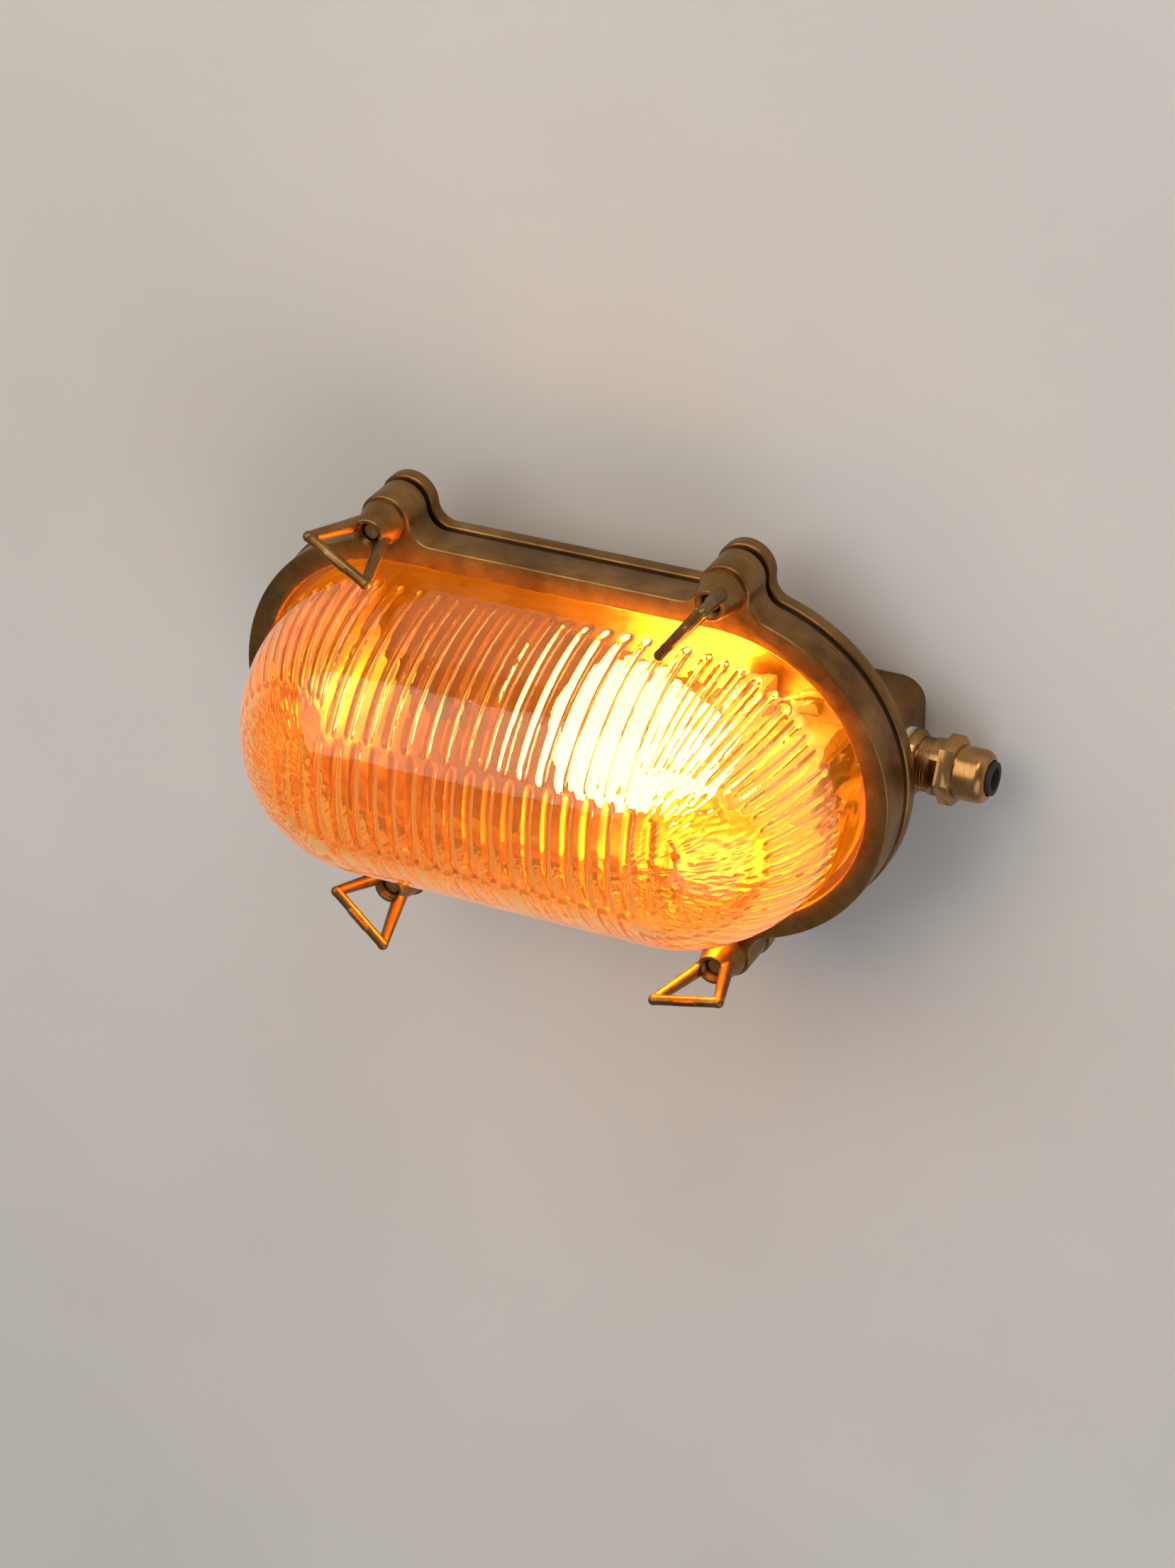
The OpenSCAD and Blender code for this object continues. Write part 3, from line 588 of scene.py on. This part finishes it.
@dataclass
class GlassDome:
    """The pressed glass bowl: a tall arch, smooth outside, ribbed inside, with a flange for its gasket.

    The ribs run square to the long axis. Those of the crown band stand half a pitch aside of those
    of the two walls, and at each end the wall's ribs turn into a fan round the pole of the oval.
    """

    straight: float = 64.2  # half the length between the poles
    flange_straight: float = 67.4
    radius: float = 62.2
    flange_radius: float = 67.2
    foot_z: float = 50.5
    flange_t: float = 4.5
    arch_z: float = 63.0
    crown_z: float = 140.0
    fullness: float = 0.95  # power of the arch: 1 is an ellipse, less is fuller
    wall: float = 6.0
    rib_pitch: float = 8.2
    rib_offset: float = 0.8
    rib_height: float = 1.35
    rib_width: float = 4.2
    rib_fullness: float = 0.75  # power of a rib's section
    rib_start_z: float = 71.5
    rib_gap: float = 0.3  # between the ends of two ribs that meet at the band
    wobble: tuple[tuple[float, float], ...] = ((0.22, 0.4), (0.1, 1.3))  # width and waves per mm
    band: float = 22.4  # half the crown band's width
    fan_step: float = math.radians(6.92)
    fan_widest: float = math.radians(86.0)
    fan_rib_share: float = 0.9  # of the width of a wall's rib
    eye_x: float = 76.0  # centre of the rough patch that the fan's ribs stop at
    eye_r: float = 33.0
    rough: tuple[tuple[float, float], ...] = ((0.6, 0.55), (0.3, 1.1))  # depth and waves per mm
    arch_samples: int = 900
    wall_rows: int = 9
    outer_wall_rows: int = 3
    inner_rows: int = 66
    outer_rows: int = 26
    arc_steps: int = 250
    straight_steps: int = 176

    def section(self, outer: bool) -> list[tuple[float, float, float]]:
        """Draws half a section through the bowl, in even steps along its arch.

        Args:
            outer: The smooth outside, or else the inside before its ribs.

        Returns:
            Radius, height and the skin's tilt for each row, from the foot to the middle.
        """
        inset = 0.0 if outer else self.wall
        edge, rise = self.radius - inset, self.crown_z - inset - self.arch_z
        fine = [math.pi / 2 * i / self.arch_samples for i in range(self.arch_samples + 1)]
        arch = [(edge * math.cos(q) ** self.fullness if q < fine[-1] else 0.0,
                 self.arch_z + rise * math.sin(q) ** self.fullness,
                 math.atan2(math.sin(q) / rise, math.cos(q) / edge)) for q in fine]
        along = [0.0]
        for here, there in zip(arch, arch[1:]):
            along.append(along[-1] + math.hypot(there[0] - here[0], there[1] - here[1]))
        low = self.foot_z + self.flange_t if outer else self.foot_z
        rise_rows = self.outer_wall_rows if outer else self.wall_rows
        rows = [(edge, low + (self.arch_z - low) * i / rise_rows, 0.0) for i in range(rise_rows)]
        count = self.outer_rows if outer else self.inner_rows
        at = 0
        for i in range(count + 1):
            while along[at] < along[-1] * i / count - 1e-9:
                at += 1
            rows.append(arch[at])
        return rows

    def rib(self, at: Vector) -> float:
        """Gives how far a rib stands in from the inner skin, as a share of its height.

        Args:
            at: The place on the inner skin.

        Returns:
            From 0 between ribs to 1 on a rib.
        """
        ahead = abs(at.x)
        beyond = max(ahead - self.straight, 0.0)
        from_middle = math.hypot(beyond, at.y)
        tip = max(self.rib_start_z + self.rib_width / 2 - at.z, 0.0)
        width = self.rib_width
        turn = abs(math.atan2(at.y, beyond))
        if from_middle < self.band:
            place = (at.x - self.rib_offset) / self.rib_pitch
            off = abs(place - round(place)) * self.rib_pitch
            tip = max(from_middle - self.band + width / 2 + self.rib_gap, 0.0)
        elif turn > self.fan_widest:
            place = (at.x - self.rib_offset) / self.rib_pitch - 0.5
            off = abs(place - round(place)) * self.rib_pitch
            tip = max(tip, self.band + width / 2 + self.rib_gap - from_middle)
        else:
            place = turn / self.fan_step
            off = abs(place - round(place)) * self.fan_step * from_middle
            width *= self.fan_rib_share
            tip = max(tip, self.eye_r + width / 2 - math.hypot(ahead - self.eye_x, at.y))
        off += self.ripple(at, self.wobble)
        return max(0.0, 1 - (2 * math.hypot(off, max(tip, 0.0)) / width) ** 2) ** self.rib_fullness

    @staticmethod
    def ripple(at: Vector, waves: tuple[tuple[float, float], ...]) -> float:
        """Adds up smooth noise of each height and rate at a place."""
        return sum(height * noise.noise(at * rate) for height, rate in waves)

    @staticmethod
    def share(distance: float, span: float) -> float:
        """Tells how much of a span a distance has passed, from 0 to 1."""
        return min(max(distance / span, 0.0), 1.0)

    def pebble(self, at: Vector) -> float:
        """Gives the rough skin between the crown band and the fans, as a depth in millimetres."""
        ahead = abs(at.x)
        beyond = max(ahead - self.straight, 0.0)
        inside = self.share(self.eye_r - 1 - math.hypot(ahead - self.eye_x, at.y), 4)
        outside = self.share(math.hypot(beyond, at.y) - self.band, 3)
        near_end = self.share(ahead - self.eye_x + 6, 6)
        return inside * outside * near_end * self.ripple(at, self.rough)

    def sweep(self, bm: BMesh, rows: list[tuple[float, float]]) -> None:
        """Sweeps a half section round the oval.

        Args:
            bm: The mesh.
            rows: Radius and height of the section's points.
        """
        verts, edges = chain(bm, [Vector((self.straight, r, z)) for r, z in rows])
        rim: list[Any] = verts + edges
        for side in (1, -1):
            spun = bmesh.ops.spin(bm, geom=rim, cent=(side * self.straight, 0, 0), axis=(0, 0, -1),
                                  dvec=(0, 0, 0), angle=math.pi, steps=self.arc_steps, use_merge=False,
                                  use_duplicate=False)
            rim = spun["geom_last"]
            for _ in range(self.straight_steps):
                grown = bmesh.ops.extrude_edge_only(bm, edges=[g for g in rim if isinstance(g, BMEdge)])
                rim = [g for g in grown["geom"] if isinstance(g, (BMVert, BMEdge))]
                step = -side * 2 * self.straight / self.straight_steps
                bmesh.ops.translate(bm, vec=(step, 0, 0), verts=[g for g in rim if isinstance(g, BMVert)])
        bmesh.ops.remove_doubles(bm, verts=bm.verts, dist=0.0005)

    def place(self, vert: BMVert, skins: dict[bool, list[tuple[float, float, float]]]) -> None:
        """Moves a vertex of the swept grid to its place in the glass.

        Args:
            vert: A vertex whose radius is its row and whose height tells the skin.
            skins: The sections of the outside and of the inside.
        """
        outer = vert.co.z > -0.5
        rows = skins[outer]
        beyond = math.copysign(max(abs(vert.co.x) - self.straight, 0.0), vert.co.x)
        row_r = math.hypot(beyond, vert.co.y)
        way = Vector((beyond, vert.co.y, 0)).normalized() if row_r > 0.01 else Vector((0, 0, 0))
        along = max(min(vert.co.x, self.straight), -self.straight)
        count = len(rows) - 1
        from_middle = round(row_r)
        if outer and from_middle > count:
            height = self.foot_z if from_middle == count + 2 else self.foot_z + self.flange_t
            wide = along * self.flange_straight / self.straight
            vert.co = Vector((wide, 0, height)) + way * self.flange_radius
            return
        radius, height, tilt = rows[count - from_middle]
        spot = Vector((along, 0, height)) + way * radius
        if not outer:
            inward = -(way * math.cos(tilt) + Vector((0, 0, math.sin(tilt))))
            spot += inward * (self.rib(spot) * self.rib_height + self.pebble(spot))
        vert.co = spot

    def build(self, finish: Material) -> None:
        """Makes the ribbed bowl in place of the CAD one."""
        bm = bmesh.new()
        skins = {outer: self.section(outer) for outer in (True, False)}
        rows = [(float(i), 0.0) for i in range(len(skins[True]) + 2)]
        rows += [(float(i), -1.0) for i in range(len(skins[False]) - 1, -1, -1)]
        self.sweep(bm, rows)
        for vert in bm.verts:
            self.place(vert, skins)
        bmesh.ops.recalc_face_normals(bm, faces=bm.faces)
        piece("glass_dome_ribbed", bm, finish, "front", "pressed_glass", "glass_dome")


# ---- Gland ----

@dataclass
class Gland:
    """The cable gland's brass body and nut, whose hexes and dome keep the CAD's own edges."""

    def build(self, finish: Material) -> None:
        """Makes the gland's two brass pieces."""
        for node, body in (("gland_body", "housing"), ("gland_nut", "gland_nut")):
            bm = merged_copy(node)
            piece(node + "_dressed", bm, finish, body, "turned_brass", node)


# ---- Studio ----

@dataclass(frozen=True)
class SoftLamp:
    """A soft square lamp, with its place and side in metres."""

    name: str
    at: tuple[float, float, float]
    side: float
    watts: float
    colour: str

    def hang(self) -> None:
        """Hangs the lamp so that it faces the lantern."""
        data = bpy.data.lights.new(self.name, "AREA")
        data.size = self.side
        data.energy = self.watts
        data.color = linear(self.colour)[:3]
        obj = bpy.data.objects.new(self.name, data)
        obj.location = self.at
        obj.rotation_euler = (-Vector(self.at)).to_track_quat("-Z", "Y").to_euler()
        bpy.context.scene.collection.objects.link(obj)


@dataclass
class Studio:
    """The pale wall that the lantern is on, its lamps, the world and the camera."""

    wall_size: float = 9.0
    wall_colour: str = "#e4e0da"
    wall_shade: str = "#d9d5ce"
    air_colour: str = "#d8dadd"
    air_level: float = 0.35
    lamps: tuple[SoftLamp, ...] = (SoftLamp("key_lamp", (-0.9, 1.5, 1.8), 2.4, 34.0, "#fff6ea"),
                                   SoftLamp("fill_lamp", (1.6, -0.9, 1.5), 2.0, 13.0, "#f4f6ff"),
                                   SoftLamp("top_lamp", (0.5, 1.9, 0.7), 0.8, 8.0, "#ffffff"))
    camera_at: tuple[float, float, float] = (0.60916, 0.74763, 1.21328)
    camera_turn: tuple[float, float, float] = (-0.544788, 0.463295, -0.026519)
    lens: float = 88.343

    def wall(self) -> None:
        """Makes the pale plaster wall."""
        bm = bmesh.new()
        bmesh.ops.create_grid(bm, x_segments=2, y_segments=2, size=self.wall_size / 2)
        mesh = bpy.data.meshes.new("wall")
        bm.to_mesh(mesh)
        bm.free()
        obj = bpy.data.objects.new("wall", mesh)
        bpy.context.scene.collection.objects.link(obj)
        material, tree, shader = new_material("pale_plaster")
        place = add(tree, "TexCoord").outputs["Object"]
        clouds = add(tree, "TexNoise", {"Scale": 4.0, "Detail": 3.0}, {"Vector": place})
        colour = ramp(tree, clouds.outputs["Fac"], [(0.3, self.wall_colour), (0.8, self.wall_shade)])
        tree.links.new(colour, shader.inputs["Base Color"])
        shader.inputs["Roughness"].default_value = 0.85
        mesh.materials.append(material)

    def world(self) -> None:
        """Fills the room with even pale light."""
        world = bpy.data.worlds.new("studio_air")
        bpy.context.scene.world = world
        world.use_nodes = True
        air = world.node_tree.nodes["Background"]
        air.inputs["Color"].default_value = linear(self.air_colour)
        air.inputs["Strength"].default_value = self.air_level

    def camera(self) -> None:
        """Sets the camera where the photograph was taken from."""
        data = bpy.data.cameras.new("camera")
        data.lens = self.lens
        data.sensor_width = 36.0
        data.sensor_fit = "AUTO"
        obj = bpy.data.objects.new("camera", data)
        obj.location = self.camera_at
        obj.rotation_euler = self.camera_turn
        bpy.context.scene.collection.objects.link(obj)
        bpy.context.scene.camera = obj

    def build(self) -> None:
        """Makes the whole studio."""
        self.wall()
        for lamp in self.lamps:
            lamp.hang()
        self.world()
        self.camera()
        bpy.context.scene.view_settings.view_transform = "Standard"


def main() -> None:
    """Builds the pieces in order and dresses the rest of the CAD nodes."""
    logging.basicConfig(level=logging.INFO, format="%(name)s: %(message)s")
    made = {slot: finish.material() for slot, finish in FINISHES.items()}
    for part in frame["record"]["subparts"]:
        frame["nodes"][part["node"]].material_slots[0].material = made[part["material_slot"]]
    CastFront().build(made["cast_brass"])
    CastBody().build(made["cast_brass"])
    for corner, (x, y) in STUD_PLACES.items():
        LoopNut(corner, x, y).build(made["cast_brass"])
    Studs().build(made["turned_brass"])
    GlassDome().build(made["pressed_glass"])
    Gland().build(made["turned_brass"])
    Studio().build()


if __name__ == "__main__":
    main()
